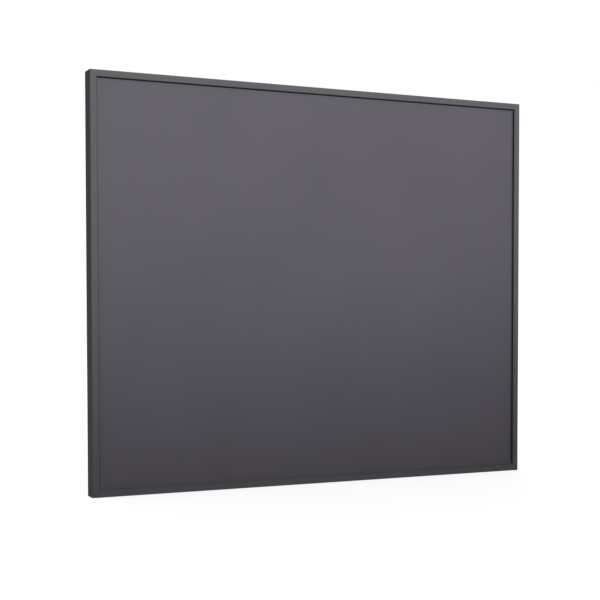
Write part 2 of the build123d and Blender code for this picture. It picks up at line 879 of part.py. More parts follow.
def terminal_block(x, z):
    """Screw terminal block with a shoulder and three openings that face down."""
    block = on_pcb(Pos(x, z) * Rectangle(block_length, block_width), block_height)
    front_z = z - block_width / 2
    shoulder = Pos(x, front_z) * Rectangle(block_length, 2 * block_shoulder_depth)
    block -= layer(shoulder, pcb_y + block_height, block_height - block_shoulder_height)
    mouth = Box(2 * block_opening, 2 * block_opening, block_width)
    poles = spread(3, block_pole_pitch)
    for dx in poles:
        block -= Pos(x + dx, pcb_y + block_mouth_height, front_z) * mouth
    screw_places = [(x + dx, z + block_screw_setback) for dx in poles]
    return block - drill(screw_places, block_opening, pcb_y + block_height, block_screw_sink)


def relay():
    """Sealed relay between the supply module and the radio."""
    outline = Pos(relay_x, pcb_top - relay_edge_gap - relay_width / 2) * Rectangle(relay_length, relay_width)
    case = on_pcb(outline, relay_height)
    return chamfer(case.faces().sort_by(Axis.Y)[-1].edges(), component_edge)


def power_supply():
    """Potted supply module."""
    middle_z = pcb_top - supply_edge_gap - supply_width / 2
    outline = Pos(supply_x, middle_z) * Rectangle(supply_length, supply_width)
    case = on_pcb(outline, tallest_part)
    return chamfer(case.faces().sort_by(Axis.Y)[-1].edges(), component_edge)


def radio_module():
    """Small radio board with a pressed shield that leaves its antenna end free."""
    low_z = pcb_top - radio_edge_gap - radio_length
    board = on_pcb(Pos(radio_x, low_z + radio_length / 2) * Rectangle(radio_width, radio_length), radio_board)
    can = RectangleRounded(radio_width - 2 * radio_can_margin, radio_can_length, radio_can_corner)
    can = Pos(radio_x, low_z + radio_can_margin + radio_can_length / 2) * can
    return board + layer(can, pcb_y + radio_board + radio_can_height, radio_can_height)


# ---- Rocker switch, made with +Z out of the box's lower wall ----
def rocker_housing():
    """Snap-in housing with a bezel, a well for the paddle and sockets for its pivots."""
    bezel = extrude(RectangleRounded(bezel_length, bezel_width, bezel_corner), amount=bezel_height)
    bezel = fillet(bezel.faces().sort_by(Axis.Z)[-1].edges(), bezel_edge_radius)
    body = extrude(Rectangle(rocker_body_length, rocker_body_width), amount=-rocker_body_depth)
    housing = bezel + body
    well_depth = rocker_body_depth - rocker_well_floor
    well = extrude(Rectangle(rocker_well_length, rocker_well_width), amount=well_depth + bezel_height)
    housing -= Pos(0, 0, -well_depth) * well
    socket_length = rocker_well_width + 2 * (pivot_engagement + pivot_clearance)
    socket = Rot(90, 0, 0) * Cylinder(pivot_radius + pivot_clearance, socket_length)
    housing -= Pos(0, 0, -pivot_depth) * socket
    for side in (-1, 1):
        arm = make_face(Polyline(
            (side * rocker_body_length / 2, -box_wall - cutout_clearance),
            (side * (rocker_body_length / 2 + snap_reach), -box_wall - 2 * cutout_clearance),
            (side * rocker_body_length / 2, -box_wall - snap_length),
            close=True))
        housing += extrude(Plane.XZ * arm, amount=snap_width / 2, both=True)
        slot = Box(lug_thickness + 2 * lug_clearance, lug_width + 2 * lug_clearance, 2 * lug_root)
        housing -= Pos(side * lug_spread, 0, -rocker_body_depth) * slot
    return housing


def rocker_lugs():
    """Two blades in the floor of the housing."""
    blade = Box(lug_thickness, lug_width, lug_length + lug_root, align=rising)
    blade = chamfer(blade.edges().filter_by(Axis.X).group_by(Axis.Z)[0], lug_chamfer)
    tip_z = -rocker_body_depth - lug_length
    return group([Pos(side * lug_spread, 0, tip_z) * blade for side in (-1, 1)])


def rocker_paddle():
    """V-topped paddle with its pivots, tipped to the off side."""
    half = rocker_well_length / 2 - paddle_clearance
    rise = half * tan(radians(paddle_tilt))
    profile = make_face(Polyline(
        (-half, 0),
        (paddle_shoulder - half, paddle_ridge + rise),
        (0, paddle_ridge),
        (half - paddle_shoulder, paddle_ridge + rise),
        (half, 0),
        (paddle_keel_half, -paddle_keel),
        (-paddle_keel_half, -paddle_keel),
        close=True))
    width = rocker_well_width - 2 * paddle_clearance
    paddle = extrude(Plane.XZ * profile, amount=width / 2, both=True)
    paddle += Rot(90, 0, 0) * Cylinder(pivot_radius, rocker_well_width + 2 * pivot_engagement)
    return Pos(0, 0, -pivot_depth) * Rot(0, paddle_tilt, 0) * paddle


# ---- Pairing button and status lamp, made with +Z out of the box's lower wall ----
def switch_face():
    """Level of the pairing switch's face, which is the lower edge of the board's tongue."""
    return -(box_height / 2 + tongue_bottom)


def pairing_button():
    """Round cap with a flange inside the wall and a stem that meets the switch's plunger."""
    cap = Cylinder(button_radius, button_proud + box_wall, align=rising)
    cap = chamfer(cap.edges().sort_by(Axis.Z)[-1], button_edge)
    flange = Cylinder(button_flange_radius, button_flange, align=hanging)
    stem_length = -box_wall - switch_face() - button_travel
    stem = Cylinder(button_stem_radius, stem_length, align=hanging)
    return Pos(0, 0, -box_wall) * (cap + flange + stem)


def pairing_plunger():
    """Plunger of the pairing switch, which moves with the button."""
    plunger = Cylinder(plunger_radius, button_travel + plunger_root, align=hanging)
    return Pos(0, 0, switch_face() + button_travel) * plunger


def pairing_switch():
    """Side-push switch on the board's tongue, with a blind bore for its plunger."""
    body = Box(switch_width, 2 * switch_axis_height, switch_body_depth, align=hanging)
    bore_depth = button_travel + plunger_root + plunger_clearance
    bore = Cylinder(plunger_radius + plunger_clearance, bore_depth, align=hanging)
    return Pos(0, 0, switch_face()) * (body - bore)


def status_lamp():
    """Side-view lamp on the board's tongue with a bevelled lens."""
    body = Box(2 * light_pipe_radius, 2 * switch_axis_height, lamp_length / 2, align=hanging)
    lens = Cylinder(light_pipe_radius, lamp_length, align=rising)
    lens = chamfer(lens.edges().sort_by(Axis.Z)[-1], lens_chamfer)
    return Pos(0, 0, switch_face()) * (body + lens)


def light_pipe():
    """Clear rod from the lamp through the wall, with a flange and a bevelled end."""
    start = switch_face() + lamp_length + lamp_gap
    end = button_proud / 2
    rod = Cylinder(light_pipe_radius, end - start, align=rising)
    rod = Pos(0, 0, start) * chamfer(rod.edges().sort_by(Axis.Z)[-1], lens_chamfer)
    flange = Cylinder(light_pipe_flange_radius, light_pipe_flange, align=hanging)
    return rod + Pos(0, 0, -box_wall) * flange


# ---- Cable gland, made with +Z out of the box's lower wall ----
def gland_body():
    """Threaded body with a hexagon outside the wall and a seat for the seal in its mouth."""
    mouth = gland_flange + gland_outside
    length = gland_inside + mouth
    body = Pos(0, 0, -gland_inside) * Cylinder(gland_thread_radius, length, align=rising)
    body += hex_prism(gland_flats, gland_flange)
    body -= Pos(0, 0, -gland_inside) * Cylinder(gland_bore_radius, length, align=rising)
    return body - Pos(0, 0, mouth) * Cylinder(seal_radius + thread_clearance, seal_length, align=hanging)


def gland_locknut():
    """Hexagon nut on the inside of the wall."""
    nut = hex_prism(gland_flats, locknut_thickness)
    nut -= Cylinder(gland_thread_radius + thread_clearance, 3 * locknut_thickness)
    return Pos(0, 0, -box_wall - locknut_thickness) * nut


def gland_seal():
    """Rubber ring in the mouth of the body, with the bore that grips the cord."""
    outline = Circle(seal_radius) - Circle(seal_bore_radius)
    return Pos(0, 0, gland_flange + gland_outside - seal_length) * extrude(outline, amount=seal_length)


def gland_cap_nut():
    """Hexagon nut with turned corners and a domed nose over the body's mouth."""
    grip = cap_nut_length - cap_nut_nose
    bevel = (gland_corner_radius - gland_flats / 2) * tan(radians(nut_bevel_angle))
    turned = make_face(Polyline(
        (0, 0),
        (gland_corner_radius, 0),
        (gland_corner_radius, grip - bevel),
        (gland_flats / 2, grip),
        (0, grip),
        close=True))
    dome = Cylinder(gland_flats / 2 - cap_nut_shoulder, cap_nut_length, align=rising)
    dome = fillet(dome.edges().sort_by(Axis.Z)[-1], cap_nut_dome)
    nut = (hex_prism(gland_flats, grip) & revolve(Plane.XZ * turned, axis=Axis.Z)) + dome
    nut -= Cylinder(gland_thread_radius + thread_clearance, gland_outside + nut_clearance, align=rising)
    nut -= Cylinder(cap_nut_mouth_radius, 3 * cap_nut_length)
    return Pos(0, 0, gland_flange) * nut


# ---- Grommet, wires and earth ----
def wire_grommet():
    """Rubber grommet through the box floor and the back plate."""
    stack = box_wall + back_plate_thickness
    profile = make_face(Polyline(
        (grommet_bore_radius, -grommet_flange),
        (grommet_flange_radius, -grommet_flange),
        (grommet_flange_radius, 0),
        (grommet_hole_radius - thread_clearance, 0),
        (grommet_hole_radius - thread_clearance, stack),
        (grommet_flange_radius, stack),
        (grommet_flange_radius, stack + grommet_flange),
        (grommet_bore_radius, stack + grommet_flange),
        close=True))
    ring = revolve(Plane.XZ * profile, axis=Axis.Z)
    return head_to_wall(wire_x, wire_z, plate_y - back_plate_thickness) * ring


def wire(points):
    """Wire along straight runs, with arcs as large as the runs allow."""
    route = [Vector(*point) for point in points]
    radii = []
    for before, corner, after in zip(route, route[1:], route[2:]):
        run_in = corner - before
        run_out = after - corner
        half_turn = radians(run_in.get_angle(run_out)) / 2
        radii.append(wire_arc_share * min(run_in.length, run_out.length) / tan(half_turn))
    path = FilletPolyline(*points, radius=radii)
    start = Plane(origin=route[0], z_dir=route[1] - route[0])
    return sweep(start * Circle(wire_radius), path=path)


def grommet_point(place):
    """Where a wire passes the grommet; its place is 0, 1 or 2 round the bore."""
    angle = radians(place * 360 / grommet_wires)
    return wire_x + grommet_lay * cos(angle), wire_z + grommet_lay * sin(angle)


def into_casing(pole, place, stagger, depth_in):
    """First points of a wire: down from its pole of the block, then through the grommet into the casing."""
    x, z = grommet_point(place)
    mouth_x = box_x + block_x + pole * block_pole_pitch
    mouth_y = pcb_y + block_mouth_height
    mouth_z = box_z + block_z - block_width / 2
    return [
        (mouth_x, mouth_y, mouth_z + wire_lead_in),
        (mouth_x, mouth_y, mouth_z - wire_lead_in),
        (x, mouth_y + stagger, z),
        (x, behind_front(depth_in), z)]


def internal_wires():
    """The five internal wires by name."""
    run = plate_front - wire_from_plate
    earth_run = plate_front - earth_from_plate
    deep = behind_front(run)
    lead = behind_front(board_rear + cutout_height / 2)
    blade = behind_front(busbar_rear + tab_step + tab_thickness / 2)
    at_lug = behind_front(plate_front - wire_radius - thread_clearance)
    lower, upper = cutout_heights()
    half = cutout_length / 2
    left_x, tab_z = terminal_points()[0]
    right_x = terminal_points()[1][0]
    tab_end = tab_z + tab_foot / 2 + tab_step + tab_blade
    down = wire_x + return_run
    stud_x = wire_x + stud_offset_x
    lug_z = wire_z + stud_offset_z - lug_ring_radius
    live_x, live_z = grommet_point(0)
    earth_x, earth_z = grommet_point(1)
    return {
        "live_supply_wire": into_casing(1, 0, wire_stagger, run) + [
            (live_x, deep - wire_ease, live_z + wire_turn),
            (wire_x, lead, lower - half - end_run),
            (wire_x, lead, lower - half)],
        "live_link_wire": [
            (wire_x, lead, lower + half),
            (wire_x, lead, lower + half + end_run),
            (wire_x + link_bow, lead, (lower + upper) / 2),
            (wire_x, lead, upper - half - end_run),
            (wire_x, lead, upper - half)],
        "live_return_wire": [
            (wire_x, lead, upper + half),
            (wire_x, lead, upper + half + end_run),
            (wire_x + return_run / 2, deep, upper + half + return_loop),
            (down, deep, upper + half + end_run / 2),
            (down + wire_ease, deep, (upper + lower) / 2),
            (down, deep, lower - end_run),
            (right_x, blade, tab_end + end_run),
            (right_x, blade, tab_end)],
        "neutral_wire": into_casing(-1, 2, 0, run) + [
            (wire_x - wire_turn, deep, wire_z + wire_ease),
            (left_x + wire_turn, deep - 2 * wire_ease, tab_end + 2 * wire_turn),
            (left_x, blade, tab_end + end_run),
            (left_x, blade, tab_end)],
        "earth_wire": into_casing(0, 1, -wire_stagger, earth_run) + [
            (earth_x, behind_front(earth_run), earth_z + wire_turn),
            (stud_x, at_lug, lug_z - wire_turn),
            (stud_x, at_lug, lug_z)],
    }


def earth_stud():
    """Stud welded to the inside of the back plate."""
    point = [(wire_x + stud_offset_x, wire_z + stud_offset_z)]
    return drill(point, stud_radius, behind_front(plate_front), stud_length)[0]


def earth_nut():
    """Nut with the ring of the earth wire under it."""
    place = Pos(wire_x + stud_offset_x, wire_z + stud_offset_z)
    bore = place * Circle(stud_radius + thread_clearance)
    ring = layer(place * Circle(lug_ring_radius) - bore, behind_front(plate_front), lug_ring_thickness)
    flats = place * RegularPolygon(nut_flats / 2, 6, major_radius=False) - bore
    return group([ring + layer(flats, behind_front(plate_front - lug_ring_thickness), nut_thickness)])


# ---- Assembly ----
def box_nodes():
    """Pieces of the control box, moved to its place on the back plate."""
    rocker = bottom_port(rocker_x, port_y)
    button = bottom_port(button_x, button_y)
    lamp = bottom_port(lamp_x, button_y)
    gland = bottom_port(gland_x, port_y)
    cover_seat = rim_y + cover_thickness - box_screw_head_height
    long_screw = box_screw(box_screw_length)
    short_screw = box_screw(board_screw_length)
    corners = all_quarters(boss_x, boss_z)
    pieces = {
        "control_box_base": control_box_base(),
        "control_box_cover": control_box_cover(),
        "cover_screws": group([head_to_wall(x, z, cover_seat) * long_screw for x, z in corners]),
        "base_screws": group([head_to_wall(x, z, floor_y) * short_screw for x, z in base_screw_offsets()]),
        "control_board": control_pcb(),
        "board_screws": group([head_to_wall(x, z, pcb_y) * short_screw for x, z in pcb_hole_points()]),
        "relay": relay(),
        "power_supply": power_supply(),
        "radio_module": radio_module(),
        "mains_terminal_block": terminal_block(-block_x, block_z),
        "heater_terminal_block": terminal_block(block_x, block_z),
        "rocker_housing": rocker * rocker_housing(),
        "rocker_lugs": rocker * rocker_lugs(),
        "rocker_paddle": rocker * rocker_paddle(),
        "pairing_button": button * pairing_button(),
        "pairing_switch_plunger": button * pairing_plunger(),
        "pairing_switch": button * pairing_switch(),
        "status_lamp": lamp * status_lamp(),
        "light_pipe": lamp * light_pipe(),
        "gland_body": gland * gland_body(),
        "gland_locknut": gland * gland_locknut(),
        "gland_cap_nut": gland * gland_cap_nut(),
        "gland_seal": gland * gland_seal(),
    }
    return {name: box_place * piece for name, piece in pieces.items()}


def all_nodes():
    """Every node of the heater by name."""
    nodes = frame_rails()
    nodes["corner_keys"] = group(in_four_corners(corner_key()))
    key_screws = [place * set_screw() for place in key_screw_places()]
    nodes["corner_key_screws"] = group([copy for one in key_screws for copy in in_four_corners(one)])
    nodes["radiant_tray"] = radiant_tray()
    nodes["heating_board"] = heating_board()
    nodes["busbar_left"] = busbar(-1)
    nodes["busbar_right"] = busbar(1)
    nodes["board_terminals"] = group([terminal_tab(x, z) for x, z in terminal_points()])
    nodes["terminal_rivets"] = terminal_rivets()
    lower, upper = cutout_heights()
    nodes["lower_thermal_cutout"] = thermal_cutout(lower)
    nodes["upper_thermal_cutout"] = thermal_cutout(upper)
    nodes["cutout_straps"] = group([cutout_strap(lower), cutout_strap(upper)])
    nodes["reflector_foil"] = reflector_foil()
    nodes["insulation_mat"] = insulation_mat()
    nodes["back_plate"] = back_plate()
    nodes["back_plate_screws"] = plate_screws()
    for name, (x, z) in hanger_points().items():
        nodes["wall_hanger_" + name] = wall_hanger(x, z)
    nodes["hanger_rivets"] = hanger_rivets()
    nodes["wire_grommet"] = wire_grommet()
    for name, points in internal_wires().items():
        nodes[name] = wire(points)
    nodes["earth_stud"] = earth_stud()
    nodes["earth_nut"] = earth_nut()
    nodes.update(box_nodes())
    return nodes


os.makedirs("parts", exist_ok=True)
for node_name, node_shape in all_nodes().items():
    export_step(node_shape, "parts/" + node_name + ".step")
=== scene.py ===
import json
from math import cos, pi, radians, sin

import bmesh
import bpy
from mathutils import Matrix, Vector


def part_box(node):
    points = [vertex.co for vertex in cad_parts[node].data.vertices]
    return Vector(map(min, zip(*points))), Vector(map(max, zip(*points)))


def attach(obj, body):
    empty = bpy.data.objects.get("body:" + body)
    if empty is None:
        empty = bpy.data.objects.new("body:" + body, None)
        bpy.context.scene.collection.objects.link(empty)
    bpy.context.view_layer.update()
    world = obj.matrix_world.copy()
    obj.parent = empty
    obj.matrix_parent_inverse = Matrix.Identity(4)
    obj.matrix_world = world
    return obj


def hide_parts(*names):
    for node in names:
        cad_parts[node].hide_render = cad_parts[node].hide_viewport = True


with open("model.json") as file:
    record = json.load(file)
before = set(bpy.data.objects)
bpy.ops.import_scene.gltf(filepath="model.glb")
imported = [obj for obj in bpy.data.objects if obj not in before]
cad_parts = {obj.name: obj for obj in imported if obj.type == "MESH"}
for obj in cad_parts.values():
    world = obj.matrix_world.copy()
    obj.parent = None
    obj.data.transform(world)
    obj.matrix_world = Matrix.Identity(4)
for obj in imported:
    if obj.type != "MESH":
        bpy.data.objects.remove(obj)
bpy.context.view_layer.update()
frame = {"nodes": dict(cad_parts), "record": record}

# Framed infrared panel heater: looks of each piece, a few small pieces, lights, floor and camera.
# Everything is in metres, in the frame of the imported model: +Z up, the wall at y = 0, the room at -Y.

nodes = frame["nodes"]

# ---- Sizes ----
# The lowest and highest corner of the panel, taken over from the model.
panel_low, panel_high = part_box("frame_rail_top")[0].copy(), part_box("frame_rail_top")[1].copy()
panel_low.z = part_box("frame_rail_bottom")[0].z
# Painted shade beside the upright lips, where the recess stands in shade: its width, and how far from the
# panel's top and foot it begins and is full.
painted_shade_width, painted_shade_begin, painted_shade_full = 0.003, 0.0095, 0.013
# Blind rivets sit this far from the middle of their hanger.
rivet_dx, rivet_dz = 0.024, 0.015
# The floor lies a little below the panel, and reaches this far.
floor_gap, floor_reach = 0.0004, 30
# Points nearer than this are one, and faces flatter than this are one face.
same_point, flat_angle = 2e-6, radians(0.4)
# Edges sharper than these stay sharp in the shading, and are softened with a narrow bevel.
smooth_angle, bevel_angle = radians(30), radians(32)


# ---- Shader tools ----
class Look:
    """A material whose nodes are added one after another."""

    def __init__(self, name, metallic=0.0, specular=0.5, sheen=0.0, coat=0.0, transmission=0.0):
        self.material = bpy.data.materials.new(name)
        self.material.use_nodes = True
        self.tree = self.material.node_tree
        self.surface = self.tree.nodes["Principled BSDF"]
        self.surface.inputs["Metallic"].default_value = metallic
        self.surface.inputs["Specular IOR Level"].default_value = specular
        self.surface.inputs["Sheen Weight"].default_value = sheen
        self.surface.inputs["Coat Weight"].default_value = coat
        self.surface.inputs["Transmission Weight"].default_value = transmission
        self.place = self.tree.nodes.new("ShaderNodeTexCoord").outputs["Object"]
        self.normal = None

    def add(self, kind, settings=None, **inputs):
        """Adds a node: its inputs take sockets or plain values, by name with _ for spaces."""
        made = self.tree.nodes.new("ShaderNode" + kind)
        for key, value in (settings or {}).items():
            setattr(made, key, value)
        for key, value in inputs.items():
            self.feed(made.inputs[key.replace("_", " ")], value)
        return made

    def feed(self, socket, value):
        """Links a socket or sets a plain value."""
        if isinstance(value, bpy.types.NodeSocket):
            self.tree.links.new(value, socket)
        else:
            socket.default_value = value

    def stretched(self, x, y, z, turn=(0, 0, 0)):
        """Object coordinates scaled along the three axes, after a turn in degrees."""
        turned = self.add("Mapping", {"vector_type": "POINT"}, Vector=self.place)
        turned.inputs["Rotation"].default_value = [radians(angle) for angle in turn]
        scaled = self.add("Mapping", {"vector_type": "POINT"}, Vector=turned.outputs["Vector"])
        scaled.inputs["Scale"].default_value = (x, y, z)
        return scaled.outputs["Vector"]

    def noise(self, scale, detail=2.0, rough=0.5, vector=None):
        """Fractal noise, about 0.25 to 0.75."""
        made = self.add("TexNoise", Vector=vector or self.place, Scale=scale, Detail=detail, Roughness=rough)
        return made.outputs["Fac"]

    def cells(self, scale, feature="F1", vector=None, randomness=1.0):
        """Distance in a cellular pattern."""
        made = self.add("TexVoronoi", {"feature": feature}, Vector=vector or self.place, Scale=scale,
                        Randomness=randomness)
        return made.outputs["Distance"]

    def span(self, value, low, high, start=0.3, end=0.7):
        """Maps start..end of a value to low..high."""
        made = self.add("MapRange", Value=value)
        for name, number in (("From Min", start), ("From Max", end), ("To Min", low), ("To Max", high)):
            made.inputs[name].default_value = number
        return made.outputs["Result"]

    def sums(self, operation, first, second):
        """Plain arithmetic on two values."""
        made = self.add("Math", {"operation": operation})
        self.feed(made.inputs[0], first)
        self.feed(made.inputs[1], second)
        return made.outputs[0]

    def blend(self, factor, first, second, kind="MIX"):
        """Mixes two colours."""
        made = self.add("Mix", {"data_type": "RGBA", "blend_type": kind})
        self.feed(made.inputs["Factor"], factor)
        for name, value in (("A", first), ("B", second)):
            socket = [one for one in made.inputs if one.name == name and one.type == "RGBA"][0]
            self.feed(socket, value if isinstance(value, bpy.types.NodeSocket) else (*value[:3], 1.0))
        return [one for one in made.outputs if one.type == "RGBA"][0]

    def soft_edges(self, radius):
        """Rounds the shading of sharp edges and returns a mask that is 1 along them."""
        bevel = self.add("Bevel", {"samples": 6}, Radius=radius)
        flat = self.add("NewGeometry")
        dot = self.add("VectorMath", {"operation": "DOT_PRODUCT"})
        self.feed(dot.inputs[0], bevel.outputs["Normal"])
        self.feed(dot.inputs[1], flat.outputs["Normal"])
        self.normal = bevel.outputs["Normal"]
        return self.span(dot.outputs["Value"], 1.0, 0.0, 0.8, 0.995)

    def relief(self, height, depth):
        """Adds a bump that is depth metres high."""
        made = self.add("Bump", Height=height, Strength=1.0, Distance=depth)
        if self.normal is not None:
            self.feed(made.inputs["Normal"], self.normal)
        self.normal = made.outputs["Normal"]

    def finish(self, colour, roughness):
        """Wires colour, roughness and normal to the surface."""
        self.feed(self.surface.inputs["Base Color"], colour)
        self.feed(self.surface.inputs["Roughness"], roughness)
        if self.normal is not None:
            self.feed(self.surface.inputs["Normal"], self.normal)
        return self.material


def linear(red, green, blue):
    """Linear colour of three display values of 0 to 255."""
    shares = [value / 255 for value in (red, green, blue)]
    return tuple(((share + 0.055) / 1.055) ** 2.4 if share > 0.04045 else share / 12.92 for share in shares)


def shade(colour, factor):
    """The colour, lighter or darker."""
    return tuple(channel * factor for channel in colour)


# ---- Finishes ----
def powder_coat(name, colour, rough, specular, peel_depth, wear, painted_shade_strength):
    """Baked powder paint: grain over a shallow orange peel, rubbed edges, and painted shade beside the
    upright lips.
    """
    look = Look(name, specular=specular)
    worn = look.soft_edges(0.0005)
    cloud = look.noise(9, 3)
    grain = look.noise(2600, 2)
    peel = look.noise(520, 1.5)
    tone = look.blend(look.span(cloud, 0, 1), shade(colour, 0.965), shade(colour, 1.035))
    speckle = look.blend(look.span(grain, 0, 1), (0.85, 0.85, 0.85), (1.23, 1.23, 1.23))
    tone = look.blend(1.0, tone, speckle, "MULTIPLY")
    scuffs = look.span(look.noise(90, 4, 0.7), 0.0, 1.0, 0.42, 0.62)
    rubbed = look.sums("MULTIPLY", look.sums("MULTIPLY", worn, scuffs), wear)
    tone = look.blend(rubbed, tone, shade(colour, 2.0))
    # Painted shade: darker where ambient occlusion finds a lip within reach, fading out near the panel's top
    # and foot.
    height = look.sums("ABSOLUTE", look.add("SeparateXYZ", Vector=look.place).outputs["Z"], 0.0)
    upright = look.span(height, 1, 0, panel_high.z - painted_shade_full, panel_high.z - painted_shade_begin)
    open_share = look.add("AmbientOcclusion", {"samples": 6}, Distance=painted_shade_width).outputs["AO"]
    painted_shade = look.sums("MULTIPLY", look.span(open_share, painted_shade_strength, 0, 0.5, 1.0), upright)
    tone = look.blend(painted_shade, tone, shade(colour, 0.1))
    look.relief(peel, peel_depth)
    look.relief(grain, peel_depth * 0.5)
    gloss = look.sums("ADD", look.span(cloud, rough - 0.03, rough + 0.03), look.span(grain, -0.04, 0.04))
    return look.finish(tone, gloss)


def galvanised(name, colour):
    """Hot-dip zinc: crystals near a centimetre across, each with its own grey, gloss and lie of feathers."""
    look = Look(name, metallic=1.0)
    worn = look.soft_edges(0.0004)
    shift = look.add("TexNoise", Vector=look.place, Scale=210.0, Detail=4.0)
    bent = look.add("VectorMath", {"operation": "MULTIPLY_ADD"})
    look.feed(bent.inputs[0], shift.outputs["Color"])
    bent.inputs[1].default_value = (0.004, 0.004, 0.004)
    look.feed(bent.inputs[2], look.place)
    crystals = look.add("TexVoronoi", Vector=bent.outputs["Vector"], Scale=125.0).outputs["Color"]
    parts = look.add("SeparateColor", Color=crystals)
    lies = [look.noise(520, 4, 0.6, look.stretched(1, 1, 7, (0, angle, 0))) for angle in (20, 65, 115)]
    feather = lies[0]
    for other, start in zip(lies[1:], (0.32, 0.65)):
        pick = look.span(parts.outputs["Blue"], 0, 1, start, start + 0.02)
        feather = look.add("Mix", Factor=pick, A=feather, B=other).outputs["Result"]
    value = look.span(parts.outputs["Red"], 0.15, 0.85, 0, 1)
    value = look.sums("ADD", value, look.span(feather, -0.35, 0.35))
    tone = look.blend(look.span(value, 0, 1, 0.0, 1.0), shade(colour, 0.80), shade(colour, 1.12))
    tone = look.blend(look.span(look.noise(16, 3), 0, 0.3), tone, shade(colour, 0.85))
    tone = look.blend(look.sums("MULTIPLY", worn, 0.4), tone, shade(colour, 1.3))
    gloss = look.span(parts.outputs["Green"], 0.36, 0.52, 0, 1)
    gloss = look.sums("ADD", gloss, look.span(feather, -0.08, 0.08))
    gloss = look.sums("ADD", gloss, look.span(look.noise(140, 3), -0.04, 0.04))
    look.relief(value, 0.000012)
    look.relief(look.noise(900, 3), 0.000008)
    return look.finish(tone, gloss)


def bright_metal(name, colour, rough, streak=(1, 1, 1), tint=None):
    """Plated or rolled metal with fine directional scratches and handling marks."""
    look = Look(name, metallic=1.0)
    worn = look.soft_edges(0.00025)
    scratches = look.noise(1500, 4, 0.65, look.stretched(*streak))
    cloud = look.noise(120, 3)
    tone = look.blend(look.span(cloud, 0, 1), shade(colour, 0.88), tint or shade(colour, 1.08))
    tone = look.blend(look.span(scratches, 0, 0.35), tone, shade(colour, 0.7))
    tone = look.blend(look.sums("MULTIPLY", worn, 0.5), tone, shade(colour, 1.25))
    look.relief(scratches, 0.000006)
    gloss = look.sums("ADD", look.span(cloud, rough - 0.05, rough + 0.07), look.span(scratches, -0.05, 0.08))
    return look.finish(tone, gloss)


def moulded(name, colour, rough, grain_scale, grain_depth, specular=0.45, dust=0.12, coat=0.0, mottle=1.3):
    """Moulded plastic or rubber: tool texture, slight flow marks, dust and rubbed edges."""
    look = Look(name, specular=specular, coat=coat)
    worn = look.soft_edges(0.0004)
    spark = look.cells(grain_scale, "SMOOTH_F1")
    fine = look.noise(grain_scale * 1.7, 3)
    flow = look.noise(26, 3, 0.5, look.stretched(1, 1, 2.5))
    tone = look.blend(look.span(flow, 0, 1), shade(colour, 0.9), shade(colour, 1.12))
    tone = look.blend(look.span(spark, 0.5, 0, 0.15, 0.6), tone, shade(colour, mottle))
    tone = look.blend(look.span(fine, 0, dust), tone, shade(colour, 2.2))
    tone = look.blend(look.sums("MULTIPLY", worn, 0.3), tone, shade(colour, 2.0))
    look.relief(spark, grain_depth)
    look.relief(fine, grain_depth * 0.5)
    gloss = look.sums("ADD", look.span(flow, rough - 0.05, rough + 0.05), look.span(fine, -0.06, 0.06))
    return look.finish(tone, gloss)


def woven_board(name, colour, film):
    """Glass-fibre laminate with the heating film's tracks showing through it."""
    look = Look(name, specular=0.5)
    look.soft_edges(0.0004)
    warp = look.add("TexWave", {"bands_direction": "X"}, Vector=look.place, Scale=160.0, Distortion=0.6)
    weft = look.add("TexWave", {"bands_direction": "Z"}, Vector=look.place, Scale=160.0, Distortion=0.6)
    weave = look.sums("MULTIPLY", warp.outputs["Fac"], weft.outputs["Fac"])
    flat = look.add("Mapping", Vector=look.place)
    flat.inputs["Rotation"].default_value = (radians(-90), 0, 0)
    tracks = look.add("TexBrick", {"offset": 0.5}, Vector=flat.outputs["Vector"], Scale=1.0,
                      Mortar_Size=0.0022, Brick_Width=0.46, Row_Height=0.011)
    mask = look.span(tracks.outputs["Fac"], 0, 1, 0, 1)
    tone = look.blend(look.span(weave, 0, 0.6, 0, 1), colour, shade(colour, 1.5))
    tone = look.blend(look.sums("MULTIPLY", mask, 0.45), film, tone)
    tone = look.blend(look.span(look.noise(40, 4), 0, 0.3), tone, shade(colour, 0.6))
    look.relief(weave, 0.00003)
    return look.finish(tone, look.span(look.noise(300, 3), 0.35, 0.5))


def crinkled_foil(name, colour):
    """Bright foil with small handling creases."""
    look = Look(name, metallic=1.0)
    creases = look.cells(70, "DISTANCE_TO_EDGE", look.stretched(1, 1, 1.4, (0, 25, 0)))
    waves = look.noise(45, 5, 0.6)
    tone = look.blend(look.span(look.noise(200, 3), 0, 1), shade(colour, 0.86), shade(colour, 1.05))
    look.relief(waves, 0.0008)
    look.relief(look.span(creases, 0, 1, 0, 0.12), 0.0002)
    return look.finish(tone, look.span(look.noise(500, 3), 0.14, 0.3))


def mineral_wool(name, colour):
    """Pressed mineral fibres with darker specks of binder."""
    look = Look(name, specular=0.2, sheen=0.25)
    long_fibres = look.noise(300, 6, 0.75, look.stretched(6, 1, 1, (0, 20, 0)))
    cross_fibres = look.noise(300, 6, 0.75, look.stretched(1, 1, 6, (0, 50, 0)))
    fibres = look.sums("ADD", long_fibres, cross_fibres)
    tone = look.blend(look.span(fibres, 0, 1, 0.7, 1.3), shade(colour, 0.7), shade(colour, 1.12))
    specks = look.span(look.cells(160), 1, 0, 0.02, 0.16)
    tone = look.blend(look.sums("MULTIPLY", specks, 0.5), tone, (0.22, 0.15, 0.08))
    look.relief(fibres, 0.0006)
    return look.finish(tone, look.span(fibres, 0.8, 0.95, 0.7, 1.3))


def insulation_sleeve(name, colour, stripe=None):
    """Silicone wire insulation, a little chalky; the earth wire has a second colour in bands."""
    look = Look(name, specular=0.45, sheen=0.1)
    chalk = look.noise(900, 4)
    tone = look.blend(look.span(chalk, 0, 0.5), shade(colour, 0.85), shade(colour, 1.35))
    if stripe:
        bands = look.add("TexWave", {"bands_direction": "DIAGONAL"}, Vector=look.place, Scale=70.0)
        tone = look.blend(look.span(bands.outputs["Fac"], 0, 1, 0.47, 0.53), tone, stripe)
    look.relief(look.noise(2200, 2), 0.00002)
    return look.finish(tone, look.span(chalk, 0.4, 0.56))


